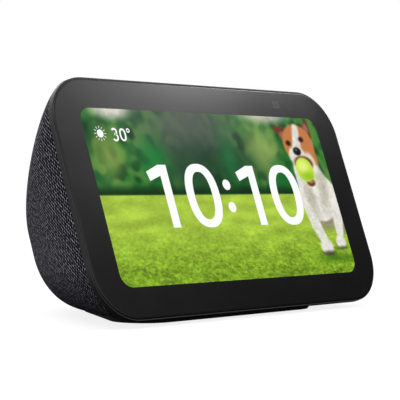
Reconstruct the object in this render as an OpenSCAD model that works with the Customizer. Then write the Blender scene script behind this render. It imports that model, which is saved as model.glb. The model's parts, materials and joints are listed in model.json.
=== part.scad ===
// Smart display: a glass face leaning back on a wedge-shaped body covered in knitted fabric.
// Millimetres. +X is right as seen from the front, +Y is back, +Z is up, and the foot stands on Z = 0.

/* [Face] */
// Width of the front face
face_w = 147; // [146:0.5:148]
// Height of the front face, measured along its slope
face_h = 83.5; // [83:0.1:84]
// Corner radius of the front face
face_r = 17.3; // [17:0.1:18]
// Lean of the face back from upright, in degrees
face_lean = 20; // [19.5:0.5:20.5]
// Width of the glass margin that shows the frame's lip
lip_w = 0.4; // [0.3:0.1:0.5]
// Thickness of the cover glass
glass_t = 1.1; // [0.9:0.1:1.1]

/* [Screen] */
// Width of the display panel
panel_w = 126.6; // [126:0.1:126.6]
// Height of the display panel
panel_h = 65.2; // [64.6:0.1:65.2]

/* [Body] */
// Half the body's width just behind the face
body_half_w = 72.6; // [72.4:0.1:73]
// Depth of the body behind the face, from front to back
body_depth = 82.4; // [82:0.1:83]
// Height of the body's top edge
body_top = 81; // [80.8:0.1:81.2]
// Height of the body's flat underside
body_bottom = 2.5; // [2.3:0.1:2.6]
// Height of the rearmost point
apex_z = 21; // [20.5:0.5:21.5]
// Thickness of the fabric cover
fabric_t = 1; // [0.8:0.1:1]
// Thickness of the rear shell's wall
shell_t = 2; // [1.8:0.1:2]

/* [Foot] */
// Half the foot's width
foot_half_w = 46.6; // [46.2:0.2:47]
// Radius of the foot's corners
foot_corner = 12; // [11.5:0.5:12]
// Height of the rubber foot
foot_t = 1.7; // [1.5:0.1:1.8]

/* [Controls] */
// Button spacing along the top strip
button_pitch = 15; // [14.5:0.5:15]
// Travel of a button
button_travel = 0.55; // [0.4:0.05:0.55]
// Travel of the privacy shutter
shutter_travel = 7; // [6:0.5:7]

/* [Camera] */
// Camera's distance to the right of the middle
camera_x = 41; // [41:0.1:41.4]
// Camera's distance up the face from its middle
camera_v = 35.9; // [35.8:0.1:36]

/* [Speaker] */
// Radius of the speaker's mounting flange
driver_r = 22; // [21.5:0.5:22]
// Depth of the sealed box behind the speaker
box_depth = 18.6; // [16:0.1:18.6]

/* [Power inlet] */
// Height of the inlet's axis
port_z = 20; // [19.5:0.5:20.5]
// Radius of the inlet's bore
port_bore_r = 2.85; // [2.8:0.05:2.9]
// Length of the bore in front of the centre pin
port_bore_l = 4.5; // [4:0.5:4.5]

/* [Hidden] */
$fn = 48;

// Face frame: x right, y up the slope, z out of the glass. Depths behind the glass are negative.
face_y = -31.6;
face_z = 41.9;
lip_back = -2.2;
lip_front = -0.35;
glass_back = -glass_t;
seat_back = -1.25;
base_back = -3.4;
boss_back = -5;
mid_frame_back = -6.4;
board_front = -9;
board_back = -10.2;
can_back = -13;
spreader_front = -14;
spreader_back = -15.2;

// Display stack, as half sizes and depths
tray_wall = 0.4;
tray_gap = 0.2;
film_back = -1.3;
panel_back = -2.5;
backlight_back = -4;
tray_back = -4.5;
opening_gap = 0.4;
opening_w = panel_w + 2 * (tray_gap + tray_wall + opening_gap);
opening_h = panel_h + 2 * (tray_gap + tray_wall + opening_gap);

// Bosses behind the bezel frame that the mid frame is screwed to
boss_r = 1.5;
pilot_r = 0.7;
boss_places = [[-56.5, 35.5], [56.5, 35.5], [-66.2, 0], [66.2, 0], [-45, -35], [45, -35]];
standoff_places = [[-50, 22], [50, 22], [-50, -24], [50, -24]];

// Top strip frame: z out of the body, at the middle of the strip's surface
strip_y = -9.6;
strip_z = 78.5;
strip_lean = 28;
strip_l = 82.4;
strip_w = 8.4;
strip_top = 0.15;
strip_back = -2.4;
button_l = 12;
button_w = 4.4;
button_top = 0.65;
button_back = -3.1;
switch_top = button_back - button_travel - 0.1;
switch_t = 0.8;
board_t = 0.8;
button_board_x = [-34, 20];
button_x = [-22, -22 + button_pitch, -22 + 2 * button_pitch];
mic_x = [-31, 17];
post_x = [-22 + button_pitch / 2, -22 + 1.5 * button_pitch];

// Privacy shutter
blade_l = 13;
blade_x = camera_x - 3.5 - blade_l;
blade_w = 4.6;
arm_l = 3;
arm_x = blade_x + 0.5;
thumb_l = 5;

// Speaker frame: z out through the fabric, just under the middle of the sound opening
speaker_y = 17.4;
speaker_z = 58.5;
speaker_lean = 39.7;
flange_top = -5.2;
flange_back = -6.2;
baffle_back = -7.4;
box_r = 24.4;
box_wall = 1.5;
box_front_limit = -15.6;
opening_r = 19.5;
ear_x = 27;

// Power inlet, along +Y
port_mouth_y = 44.2;
jack_front_y = 27;
jack_back_y = 34.5;
jack_screw_y = 22.5;
pin_r = 0.9;
ring_r = 5.6;
jack_board_top = 13.9;

// Base
foot_front = [foot_half_w - foot_corner, -25];
foot_rear = [15.3, 8];
plate_top = 3.9;
base_screw_places = [[-36, -31], [36, -31], [-27, 6], [27, 6]];

// Colours
charcoal = [0.11, 0.11, 0.12];
fabric_grey = [0.2, 0.2, 0.23];
board_green = [0.05, 0.3, 0.15];
steel = [0.7, 0.7, 0.72];
black = [0.04, 0.04, 0.04];

// ---------- Frames ----------

module on_face() {
    translate([0, face_y, face_z])
        rotate([90 - face_lean, 0, 0])
            children();
}

module on_strip() {
    translate([0, strip_y, strip_z])
        rotate([-strip_lean, 0, 0])
            children();
}

module on_speaker() {
    translate([0, speaker_y, speaker_z])
        rotate([-speaker_lean, 0, 0])
            children();
}

// Z runs back along +Y from y
module along_port(y) {
    translate([0, y, port_z])
        rotate([-90, 0, 0])
            children();
}

// ---------- Shared shapes ----------

module rounded_rect(w, h, r) {
    square([w - 2 * r, h], center = true);
    // Ends that are full half circles leave nothing for the second square
    if (h - 2 * r > 0.001)
        square([w, h - 2 * r], center = true);
    for (x = [-1, 1], y = [-1, 1])
        translate([x * (w / 2 - r), y * (h / 2 - r)])
            circle(r);
}

// Rounded plate between two heights
module plate(w, h, r, low, high) {
    translate([0, 0, low])
        linear_extrude(high - low)
            rounded_rect(w, h, r);
}

// Box from one corner to the other
module block(from, to) {
    translate(from)
        cube(to - from);
}

module disc(r, low, high) {
    translate([0, 0, low])
        cylinder(r = r, h = high - low);
}

module ring(inner, outer, low, high) {
    difference() {
        disc(outer, low, high);
        disc(inner, low - 1, high + 1);
    }
}

// Screw with its head above z = 0 and a cross cut in the head
module screw(shank, r = 0.65, head_r = 1.4, head_h = 1) {
    difference() {
        disc(head_r, 0, head_h);
        for (turn = [0, 90])
            rotate(turn)
                block([-head_r * 0.6, -0.15, head_h * 0.4], [head_r * 0.6, 0.15, head_h + 1]);
    }
    disc(r, -shank, 0);
}

// Eight-sided wire through a list of points
module wire(points, r) {
    for (i = [0 : len(points) - 2]) {
        run = points[i + 1] - points[i];
        translate(points[i])
            rotate([0, acos(run.z / norm(run)), atan2(run.y, run.x)])
                cylinder(r = r, h = norm(run), $fn = 8);
        if (i > 0)
            translate(points[i])
                sphere(r, $fn = 8);
    }
}

// ---------- Body surface ----------
// Sections are parallel to the face. s runs from 0 behind the face to 1 at the rearmost point.
// An inset moves the surface inwards, for the shell under the fabric and for its inside.

ring_count = 20;
point_count = 72;
corner_r = 17;
last_s = 0.9995;

function body_half(s, inset) = (body_half_w - inset) * pow(1 - pow(s, 1.2), 1 / 2.1);
function body_roof(s, inset) =
    apex_z + (body_top - inset - apex_z) * pow(1 - pow(s, 1.1), 1 / 1.4);
function body_floor(s, inset) = apex_z - (apex_z - body_bottom - inset) * sqrt(1 - pow(s, 8));
function body_middle(s) = apex_z + ((body_top + body_bottom) / 2 - apex_z) * (1 - s);
function corner(size, growth, inset) =
    let (r = corner_r - inset)
    min(size, size > r ? r + (size - r) * growth : size);

// One point of a section: quarter ellipses at the corners, straight between them
function section_point(a, s, inset) =
    let (
        upper = sin(a) >= 0,
        half = body_half(s, inset),
        middle = body_middle(s),
        height = upper ? body_roof(s, inset) - middle : middle - body_floor(s, inset),
        growth = upper ? pow(s, 1.3) : -0.15 * pow(s, 2),
        rx = corner(half, growth, inset),
        rz = corner(height, growth, inset),
        x = sign(round(cos(a) * 1e6)) * (half - rx) + rx * cos(a),
        z = middle + sign(round(sin(a) * 1e6)) * (height - rz) + rz * sin(a),
        depth = s * (body_depth - 1.5 * inset),
        start = (0.1 - lip_back) / cos(face_lean)
    )
    [x, face_y + (z - face_z) * tan(face_lean) + start + depth, z];

function body_points(inset) = [
    for (i = [0 : ring_count], j = [0 : point_count - 1])
        section_point(360 * j / point_count, min(sin(90 * i / ring_count), last_s), inset)
];

// Hollow body, open at the front, between two insets
module body_cup(outer, inner) {
    n = point_count;
    inside = (ring_count + 1) * n;
    points = concat(body_points(outer), body_points(inner));
    side = [
        for (i = [0 : ring_count - 1], j = [0 : n - 1])
            let (k = (j + 1) % n)
            [i * n + j, i * n + k, (i + 1) * n + k, (i + 1) * n + j]
    ];
    lining = [for (f = side) [for (p = [3 : -1 : 0]) f[p] + inside]];
    edge = [for (j = [0 : n - 1]) let (k = (j + 1) % n) [j, j + inside, k + inside, k]];
    rear = [for (j = [0 : n - 1]) ring_count * n + j];
    rear_lining = [for (j = [n - 1 : -1 : 0]) inside + ring_count * n + j];
    polyhedron(points, concat(side, lining, edge, [rear, rear_lining]));
}

function arc_points(centre, r, from, to) = [
    for (i = [0 : 10])
        let (a = from + (to - from) * i / 10)
        centre + r * [cos(a), sin(a)]
];

// Outline of the foot, grown outwards: narrower behind, with the same radius at each corner
function foot_points(grow) =
    let (
        r = foot_corner + grow,
        lean = atan2(foot_front.x - foot_rear.x, foot_rear.y - foot_front.y),
        right = concat(arc_points(foot_front, r, -90, lean), arc_points(foot_rear, r, lean, 90))
    )
    concat(right, [for (i = [len(right) - 1 : -1 : 0]) [-right[i].x, right[i].y]]);

module foot_plate(grow, low, high) {
    translate([0, 0, low])
        linear_extrude(high - low)
            polygon(foot_points(grow));
}

// ---------- Display ----------

module cover_glass() {
    glass_w = face_w - 2 * lip_w;
    glass_h = face_h - 2 * lip_w;
    glass_r = face_r - lip_w;
    // The front edge is rounded over in steps: how far in, and how far back
    edge_steps = [[1.4, 0], [0.7, 0.12], [0.3, 0.3], [0, 0.6]];
    color(black)
        on_face()
            for (step = edge_steps)
                plate(glass_w - 2 * step[0], glass_h - 2 * step[0], glass_r - step[0],
                      glass_back, -step[1]);
}

module glass_adhesive() {
    color(black)
        on_face()
            difference() {
                plate(face_w - 4, face_h - 4, face_r - 2, seat_back, glass_back);
                plate(opening_w, opening_h, 2, seat_back - 1, 0);
                shutter_pocket(0.4);
            }
}

module touch_film() {
    color([0.3, 0.35, 0.38])
        on_face()
            plate(panel_w - 0.4, panel_h - 0.4, 2, film_back, glass_back);
}

module lcd_panel() {
    color([0.1, 0.4, 0.15])
        on_face()
            plate(panel_w, panel_h, 2, panel_back, film_back);
}

module backlight_unit() {
    color([0.9, 0.9, 0.92])
        on_face()
            plate(panel_w - 0.4, panel_h - 0.4, 2, backlight_back, panel_back);
}

module display_tray() {
    inner_w = panel_w + 2 * tray_gap;
    inner_h = panel_h + 2 * tray_gap;
    color(steel)
        on_face()
            difference() {
                plate(inner_w + 2 * tray_wall, inner_h + 2 * tray_wall, 2.4, tray_back, -1.6);
                plate(inner_w, inner_h, 2, backlight_back - 0.1, 0);
                // Slot for the display ribbon
                block([-10, -29, tray_back - 1], [10, -27.5, backlight_back + 0.1]);
            }
}

// Space in the frame's face in which the shutter's blade slides
module shutter_pocket(deeper = 0) {
    block([blade_x - 0.5, opening_h / 2 - 0.1, -1.9 + deeper],
          [blade_x + blade_l + shutter_travel + 0.5, camera_v + blade_w / 2 + 0.4, 0]);
}

module bezel_frame() {
    color(charcoal)
        on_face()
            difference() {
                union() {
                    plate(face_w, face_h, face_r, lip_back, lip_front);
                    translate([0, 0.35, 0])
                        plate(137, 75.1, 14, base_back, lip_back);
                    for (place = boss_places)
                        translate(place)
                            disc(boss_r, boss_back, base_back);
                }
                plate(face_w - 2 * lip_w + 0.1, face_h - 2 * lip_w + 0.1, face_r - lip_w,
                      seat_back, 1);
                plate(opening_w, opening_h, 2, boss_back - 1, 0);
                shutter_pocket();
                // Slot for the shutter's arm
                block([arm_x - 0.4, 36, base_back - 1],
                      [arm_x + arm_l + shutter_travel + 0.4, 37.6, 0]);
                translate([camera_x, camera_v])
                    disc(2.1, base_back - 1, 0);
                translate([49, 36])
                    disc(0.9, base_back - 1, 0);
                for (place = boss_places)
                    translate(place)
                        disc(pilot_r, boss_back - 1, -2);
            }
}

// ---------- Camera, light sensor and shutter ----------

module camera_module() {
    color(black)
        on_face()
            translate([camera_x, camera_v])
                block([-3, -2, -6.2], [3, 2, -3.5]);
}

module camera_lens() {
    color([0.1, 0.1, 0.2])
        on_face()
            translate([camera_x, camera_v]) {
                disc(1.9, -3.5, -2.6);
                disc(1.2, -2.6, -2.2);
            }
}

module camera_bracket() {
    color(steel)
        on_face()
            translate([camera_x, camera_v]) {
                block([-5, -1.9, -6.8], [5, 1.5, -6.25]);
                for (side = [-1, 1])
                    translate([side * 4.3, 0])
                        block([-0.7, -1.7, -6.25], [0.7, 1.5, base_back]);
            }
}

module light_sensor() {
    color([0.2, 0.2, 0.25])
        on_face()
            block([47.8, 35, -4.4], [50.2, 37, base_back]);
}

// Blade in front of the camera, the arm that passes back through the frame,
// and the thumb piece on the top strip
module shutter() {
    color(charcoal) {
        on_face() {
            block([blade_x, camera_v - blade_w / 2 + 0.3, -1.75],
                  [blade_x + blade_l, camera_v + blade_w / 2, -1.35]);
            block([arm_x, 36.3, -8], [arm_x + arm_l, 37.3, -1.75]);
        }
        on_strip() {
            block([arm_x, -0.7, -5], [arm_x + arm_l, 0.7, strip_top + 0.15]);
            translate([arm_x + arm_l / 2, 0]) {
                plate(thumb_l, 4.4, 1.2, strip_top + 0.15, 0.9);
                for (x = [-1.2, 0, 1.2])
                    translate([x, 0])
                        plate(0.5, 3, 0.24, 0.9, 1.15);
            }
        }
    }
}

// ---------- Mid frame and electronics ----------

module mid_frame() {
    color([0.16, 0.16, 0.17])
        on_face()
            difference() {
                union() {
                    translate([0, -0.8])
                        plate(134.4, 69.8, 13, mid_frame_back, boss_back);
                    for (place = boss_places)
                        translate(place)
                            disc(place.y < 0 ? 1.2 : 2.2, mid_frame_back, boss_back);
                    for (place = standoff_places)
                        translate(place)
                            disc(2.5, board_front, mid_frame_back);
                    // Side walls that carry the antennas
                    for (side = [-1, 1])
                        translate([side * 61.2, 0])
                            block([-0.6, -14, -20], [0.6, 20, mid_frame_back]);
                }
                translate([0, -4])
                    plate(88, 50, 4, mid_frame_back - 1, 0);
                block([camera_x - 5.5, 23, mid_frame_back - 1], [camera_x + 5.5, 40, 0]);
                for (place = boss_places)
                    translate(place) {
                        disc(pilot_r + 0.1, mid_frame_back - 1, 0);
                        disc(1.2, mid_frame_back - 1, mid_frame_back + 1);
                    }
                for (place = standoff_places)
                    translate(place)
                        disc(pilot_r, board_front - 1, mid_frame_back + 0.6);
            }
}

module frame_screws() {
    color(steel)
        on_face()
            for (place = boss_places)
                translate([place.x, place.y, mid_frame_back + 1])
                    mirror([0, 0, 1])
                        screw(2.4, head_r = 1.1);
}

module main_board() {
    color(board_green)
        on_face()
            difference() {
                translate([0, -1.5])
                    plate(112, 55, 3, board_back, board_front);
                for (place = standoff_places)
                    translate(place)
                        disc(pilot_r + 0.1, board_back - 1, 0);
            }
}

module processor() {
    color(black)
        on_face()
            block([-26, -2, -11.5], [-14, 10, board_back]);
}

module memory_chips() {
    color(black)
        on_face()
            for (x = [-10, 1])
                block([x, -2, -11.3], [x + 8, 9, board_back]);
}

module shield_can() {
    color(steel)
        on_face()
            difference() {
                block([-30, -9, can_back], [14, 14, board_back]);
                block([-29.7, -8.7, can_back + 0.3], [13.7, 13.7, 0]);
            }
}

module thermal_pad() {
    color([0.55, 0.6, 0.75])
        on_face()
            block([-26, -4, spreader_front], [2, 10, can_back]);
}

module heat_spreader() {
    color(steel)
        on_face()
            translate([-2, 0])
                plate(56, 40, 3, spreader_back, spreader_front);
}

// Display and camera connectors in front of the board; button, speaker and power ones behind it
module board_connectors() {
    color([0.85, 0.82, 0.75])
        on_face() {
            block([-10, -22, board_front], [10, -18, -8.1]);
            block([38, 20, board_front], [44, 23, -8.1]);
            block([-15, 20, -11.4], [-3, 23.5, board_back]);
            block([30, -8, -12.4], [37, -3, board_back]);
            block([30, -24, -12.4], [37, -19, board_back]);
        }
}

module board_screws() {
    color(steel)
        on_face()
            for (place = standoff_places)
                translate([place.x, place.y, board_back])
                    mirror([0, 0, 1])
                        screw(3);
}

module antennas() {
    color([0.8, 0.6, 0.3])
        on_face()
            for (side = [-1, 1])
                translate([side * 61.95, 0])
                    block([-0.15, -12, -19], [0.15, 18, -9]);
}

// Flat ribbon: a path of [up the face, depth] points, thickened to one side and extruded across x
module ribbon(path, side, from_x, to_x) {
    t = 0.25;
    back = [for (i = [len(path) - 1 : -1 : 0]) path[i] + [side * t, -t]];
    color([0.75, 0.5, 0.15])
        on_face()
            translate([from_x, 0, 0])
                rotate([90, 0, 90])
                    linear_extrude(to_x - from_x)
                        polygon(concat(path, back));
}

module display_ribbon() {
    ribbon([[-28, -4.2], [-28, -7.2], [-20, -7.2], [-20, -7.8]], -1, -9, 9);
}

module camera_ribbon() {
    ribbon([[34.2, -6.8], [24, -6.8], [22.6, -7.8]], 1, 38.5, 43.5);
}

module button_ribbon() {
    ribbon([[33.8, -10.6], [33.8, -11.4], [22.5, -11.4]], 1, -13, -5);
}

// Two wires from the board to the speaker's box; the second runs beside the first
module speaker_wires() {
    for (k = [0, 1])
        color(k == 0 ? [0.7, 0.1, 0.1] : black)
            wire([[31.8 + 3.4 * k, -21, 32.8], [31.8 + 3.4 * k, -12, 33],
                  [28.6 + 2 * k, -1 + k, 35.5], [25.1, 3 + 3 * k, 36]], 0.5);
}

module power_wires() {
    for (k = [0, 1])
        color(k == 0 ? [0.7, 0.1, 0.1] : black)
            wire([[31.8 + 3.4 * k, -26.4, 17.8], [31.8 + 3.4 * k, -15, 16],
                  [10 + 3.4 * k, 8, 15.8], [1.8 + 3.4 * k, 20, 14.7]], 0.5);
}

// ---------- Top strip and buttons ----------

module top_strip() {
    color(charcoal)
        on_strip()
            difference() {
                union() {
                    plate(strip_l, strip_w, strip_w / 2, strip_back, strip_top);
                    // Hooks that reach under the shell at both ends
                    for (side = [0, 1])
                        mirror([side, 0, 0]) {
                            block([37.5, 0.3, -5], [43.5, 3.3, -4.2]);
                            block([37.5, 0.3, -4.2], [39.3, 3.3, strip_back]);
                        }
                    // Posts that hold the button board
                    for (x = post_x)
                        translate([x, 0]) {
                            disc(0.8, switch_top - switch_t, strip_back);
                            disc(0.5, switch_top - switch_t - board_t - 0.4, strip_back);
                        }
                }
                for (x = button_x)
                    translate([x, 0])
                        plate(button_l + 0.5, button_w + 0.5, button_w / 2 + 0.25, -4, 2);
                for (x = mic_x)
                    translate([x, 0])
                        disc(0.6, -4, 2);
                translate([arm_x + (arm_l + shutter_travel) / 2, 0])
                    plate(arm_l + shutter_travel + 0.8, 2, 0.5, -4, 2);
            }
}

module button(x) {
    color(charcoal)
        on_strip()
            translate([x, 0]) {
                plate(button_l, button_w, button_w / 2, button_back, button_top - 0.2);
                plate(button_l - 0.4, button_w - 0.4, button_w / 2 - 0.2,
                      button_back, button_top);
                plate(button_l + 0.8, button_w + 1.6, button_w / 2 + 0.8,
                      button_back, strip_back - 0.15);
            }
}

module volume_down_button() {
    button(button_x[0]);
}

module volume_up_button() {
    button(button_x[1]);
}

module mic_off_button() {
    button(button_x[2]);
}

module button_board() {
    high = switch_top - switch_t;
    color(board_green)
        on_strip()
            difference() {
                block([button_board_x[0], -3.5, high - board_t], [button_board_x[1], 3.5, high]);
                for (x = post_x)
                    translate([x, 0])
                        disc(0.55, high - 2, high + 1);
            }
}

module tact_switches() {
    color(steel)
        on_strip()
            for (x = button_x)
                translate([x, 0])
                    block([-1.7, -1.7, switch_top - switch_t], [1.7, 1.7, switch_top]);
}

module microphones() {
    low = switch_top - switch_t;
    color(steel)
        on_strip()
            for (x = mic_x)
                translate([x, 0])
                    block([-1.7, -1.2, low], [1.7, 1.2, low + 1]);
}

module mic_mesh() {
    color([0.3, 0.3, 0.3])
        on_strip()
            for (x = mic_x)
                translate([x, 0])
                    disc(1.4, strip_back - 0.2, strip_back);
}

// ---------- Rear shell and fabric ----------

module strip_opening(gap) {
    on_strip()
        plate(strip_l + 2 * gap, strip_w + 2 * gap, strip_w / 2 + gap, -6, 6);
}

module rear_shell() {
    outer = fabric_t + 0.05;
    color([0.13, 0.13, 0.14])
        difference() {
            union() {
                body_cup(outer, outer + shell_t);
                for (place = base_screw_places)
                    translate(place)
                        disc(2.8, plate_top + 0.1, 10);
                on_speaker()
                    for (side = [-1, 1])
                        translate([side * ear_x, 0])
                            disc(2.6, flange_back, -1.4);
                for (side = [-1, 1])
                    translate([side * 6, jack_screw_y])
                        disc(1.8, 6.5, jack_board_top - 1.1);
            }
            foot_plate(1.3, -1, plate_top + 0.1);
            // Service opening that the base plate closes, clear of the front bosses
            intersection() {
                foot_plate(-5, -1, 8);
                block([-50, -28.5, -1], [50, 50, 8]);
            }
            strip_opening(0.15);
            on_speaker()
                disc(opening_r, -8, 8);
            along_port(30)
                disc(ring_r + 0.1, 0, 30);
            for (place = base_screw_places)
                translate(place)
                    disc(pilot_r + 0.1, 0, 9);
            on_speaker()
                for (side = [-1, 1])
                    translate([side * ear_x, 0])
                        disc(pilot_r, -8, -2.4);
            for (side = [-1, 1])
                translate([side * 6, jack_screw_y])
                    disc(pilot_r, 9, 20);
        }
}

module fabric_cover() {
    color(fabric_grey)
        difference() {
            body_cup(0, fabric_t);
            foot_plate(1.3, -1, 8);
            strip_opening(0.3);
            along_port(30)
                disc(ring_r + 0.2, 0, 30);
        }
}

// ---------- Speaker ----------

module speaker_grille() {
    color(black)
        on_speaker()
            difference() {
                disc(opening_r - 0.2, -2.4, -1.8);
                for (row = [-4 : 4], column = [-4 : 4]) {
                    x = (column + (row % 2 == 0 ? 0 : 0.5)) * 4;
                    y = row * 3.5;
                    if (norm([x, y]) < opening_r - 3)
                        translate([x, y])
                            disc(1.2, -5, 0);
                }
            }
}

module speaker_gasket() {
    color(black)
        on_speaker()
            ring(opening_r, driver_r, flange_top, flange_top + 0.5);
}

module speaker_basket() {
    color(steel)
        on_speaker()
            rotate_extrude()
                polygon([
                    [driver_r, flange_top], [19.2, flange_top], [19.2, -6.6], [11.9, -14],
                    [7.2, -14], [7.2, -15], [12.4, -15], [20.3, flange_back],
                    [driver_r, flange_back]
                ]);
}

// Pot magnet with its pole inside the voice coil
module speaker_magnet() {
    color([0.3, 0.3, 0.32])
        on_speaker() {
            difference() {
                disc(11, -22, -15);
                ring(6, 7.2, -19, -14);
            }
            disc(6, -19, -13.5);
        }
}

module voice_coil() {
    color([0.7, 0.4, 0.2])
        on_speaker()
            ring(6.35, 6.7, -14.8, -10.9);
}

module speaker_cone() {
    color([0.1, 0.1, 0.1])
        on_speaker()
            rotate_extrude()
                polygon([[6.35, -10.9], [15.6, -6], [15.6, -5.6], [6.35, -10.4]]);
}

module dust_cap() {
    dome_r = 11.3;
    dome_z = -19.3;
    color([0.15, 0.15, 0.15])
        on_speaker()
            rotate_extrude()
                intersection() {
                    translate([0, dome_z])
                        difference() {
                            circle(dome_r);
                            circle(dome_r - 0.4);
                        }
                    translate([0, -10.4])
                        square([6.3, 5]);
                }
}

// Half-round rubber roll around the cone
module speaker_surround() {
    color(black)
        on_speaker()
            rotate_extrude()
                translate([17.5, -5.8])
                    intersection() {
                        difference() {
                            circle(1.6);
                            circle(1.2);
                        }
                        translate([-2, 0])
                            square([4, 2]);
                    }
}

module speaker_baffle() {
    color(charcoal)
        on_speaker()
            difference() {
                union() {
                    disc(box_r, baffle_back, flange_back);
                    for (side = [-1, 1])
                        translate([side * ear_x, 0])
                            disc(2.8, baffle_back, flange_back);
                }
                disc(20.6, -9, -4);
                for (side = [-1, 1])
                    translate([side * ear_x, 0])
                        disc(pilot_r + 0.1, -9, -4);
            }
}

// Round box whose front is cut off parallel to the face, clear of the main board
module speaker_chamber(r, high, low, limit) {
    intersection() {
        on_speaker()
            disc(r, low, high);
        on_face()
            block([-50, -60, -100], [50, 60, limit]);
    }
}

module speaker_box() {
    low = baffle_back - box_depth;
    color([0.18, 0.18, 0.19])
        difference() {
            speaker_chamber(box_r, baffle_back, low, box_front_limit);
            speaker_chamber(box_r - box_wall, baffle_back + 1, low + box_wall,
                            box_front_limit - box_wall);
        }
}

module speaker_screws() {
    color(steel)
        on_speaker()
            for (side = [-1, 1])
                translate([side * ear_x, 0, baffle_back])
                    mirror([0, 0, 1])
                        screw(3.6);
}

// ---------- Power inlet ----------

module power_jack() {
    color(black)
        difference() {
            union() {
                block([-4.5, jack_front_y, jack_board_top], [4.5, jack_back_y, port_z + 4.5]);
                along_port(jack_back_y)
                    disc(4.2, -1, port_mouth_y - jack_back_y);
            }
            along_port(port_mouth_y)
                disc(port_bore_r, -port_bore_l, 1);
            along_port(port_mouth_y)
                disc(port_bore_r - 0.45, -10, 1);
        }
}

module jack_pin() {
    color([0.75, 0.7, 0.5])
        along_port(port_mouth_y)
            disc(pin_r, -10, -port_bore_l - 0.4);
}

module jack_board() {
    color(board_green)
        difference() {
            block([-9, 18.5, jack_board_top - 1], [9, 33, jack_board_top]);
            for (side = [-1, 1])
                translate([side * 6, jack_screw_y])
                    disc(pilot_r + 0.1, 0, 20);
        }
}

module jack_screws() {
    color(steel)
        for (side = [-1, 1])
            translate([side * 6, jack_screw_y, jack_board_top])
                screw(4);
}

module port_ring() {
    color(charcoal)
        along_port(port_mouth_y)
            ring(4.4, ring_r, -5, 0.2);
}

// ---------- Base ----------

module base_plate() {
    color(charcoal)
        difference() {
            foot_plate(1, foot_t, plate_top);
            for (place = base_screw_places)
                translate(place) {
                    disc(pilot_r + 0.1, 0, 9);
                    disc(1.7, 0, foot_t + 1.1);
                }
        }
}

module base_screws() {
    color(steel)
        for (place = base_screw_places)
            translate([place.x, place.y, foot_t + 1.1])
                mirror([0, 0, 1])
                    screw(5);
}

module foot_pad() {
    color(black) {
        foot_plate(-0.4, 0, foot_t);
        foot_plate(0, 0.4, foot_t);
    }
}

// ---------- Nodes ----------

cover_glass();
glass_adhesive();
touch_film();
lcd_panel();
backlight_unit();
display_tray();
bezel_frame();
camera_module();
camera_lens();
camera_bracket();
light_sensor();
shutter();
mid_frame();
frame_screws();
main_board();
processor();
memory_chips();
shield_can();
thermal_pad();
heat_spreader();
board_connectors();
board_screws();
antennas();
display_ribbon();
camera_ribbon();
button_ribbon();
speaker_wires();
power_wires();
top_strip();
button_board();
tact_switches();
microphones();
mic_mesh();
volume_down_button();
volume_up_button();
mic_off_button();
rear_shell();
fabric_cover();
speaker_grille();
speaker_gasket();
speaker_basket();
speaker_magnet();
voice_coil();
speaker_cone();
dust_cap();
speaker_surround();
speaker_baffle();
speaker_box();
speaker_screws();
power_jack();
jack_pin();
jack_board();
jack_screws();
port_ring();
base_plate();
base_screws();
foot_pad();
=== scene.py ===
"""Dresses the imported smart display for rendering.

A glass face leans back on a wedge-shaped body in knitted fabric. Lengths are metres, in the part's
own frame: +X is right as seen from the front, +Y is back, +Z is up, and the foot stands on Z = 0.
"""

import json
import math

import bmesh
import bpy
import numpy as np
from mathutils import Matrix, Vector


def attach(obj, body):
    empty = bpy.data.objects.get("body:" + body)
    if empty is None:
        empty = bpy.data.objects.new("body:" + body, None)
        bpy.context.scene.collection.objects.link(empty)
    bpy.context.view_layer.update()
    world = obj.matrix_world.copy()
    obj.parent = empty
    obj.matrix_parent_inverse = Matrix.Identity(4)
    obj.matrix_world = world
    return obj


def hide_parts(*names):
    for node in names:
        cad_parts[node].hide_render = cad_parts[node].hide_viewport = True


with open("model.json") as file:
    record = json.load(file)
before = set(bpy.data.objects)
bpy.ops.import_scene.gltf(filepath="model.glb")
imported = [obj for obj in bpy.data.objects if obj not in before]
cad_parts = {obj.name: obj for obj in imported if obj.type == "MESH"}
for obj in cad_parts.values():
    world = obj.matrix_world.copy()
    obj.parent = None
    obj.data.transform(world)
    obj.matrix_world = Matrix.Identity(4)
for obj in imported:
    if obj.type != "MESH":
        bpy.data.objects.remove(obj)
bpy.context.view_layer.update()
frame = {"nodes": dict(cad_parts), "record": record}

MM = 0.001
RIGHT = Vector((1, 0, 0))
FACE_LEAN = math.radians(20)
STRIP_LEAN = math.radians(28)
REAR_SLOPE = math.radians(48)
KNIT_CELL = 1.2 * MM
FACE_OUT = Vector((0, -math.cos(FACE_LEAN), math.sin(FACE_LEAN)))
STRIP_OUT = Vector((0, math.sin(STRIP_LEAN), math.cos(STRIP_LEAN)))


# ---------- Places ----------

def place_on(node, out, right=RIGHT):
    """Frame in the middle of a CAD node's outermost face: z is out, x is right."""
    up = out.cross(right)
    points = [v.co for v in frame["nodes"][node].data.vertices]
    spans = [[p.dot(axis) for p in points] for axis in (right, up, out)]
    middle = right * (min(spans[0]) + max(spans[0])) / 2 + up * (min(spans[1]) + max(spans[1])) / 2
    turn = Matrix((right, up, out)).transposed().to_4x4()
    return Matrix.Translation(middle + out * max(spans[2])) @ turn


FACE = place_on("cover_glass", FACE_OUT)
STRIP = place_on("top_strip", STRIP_OUT)


# ---------- Node trees ----------

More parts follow.
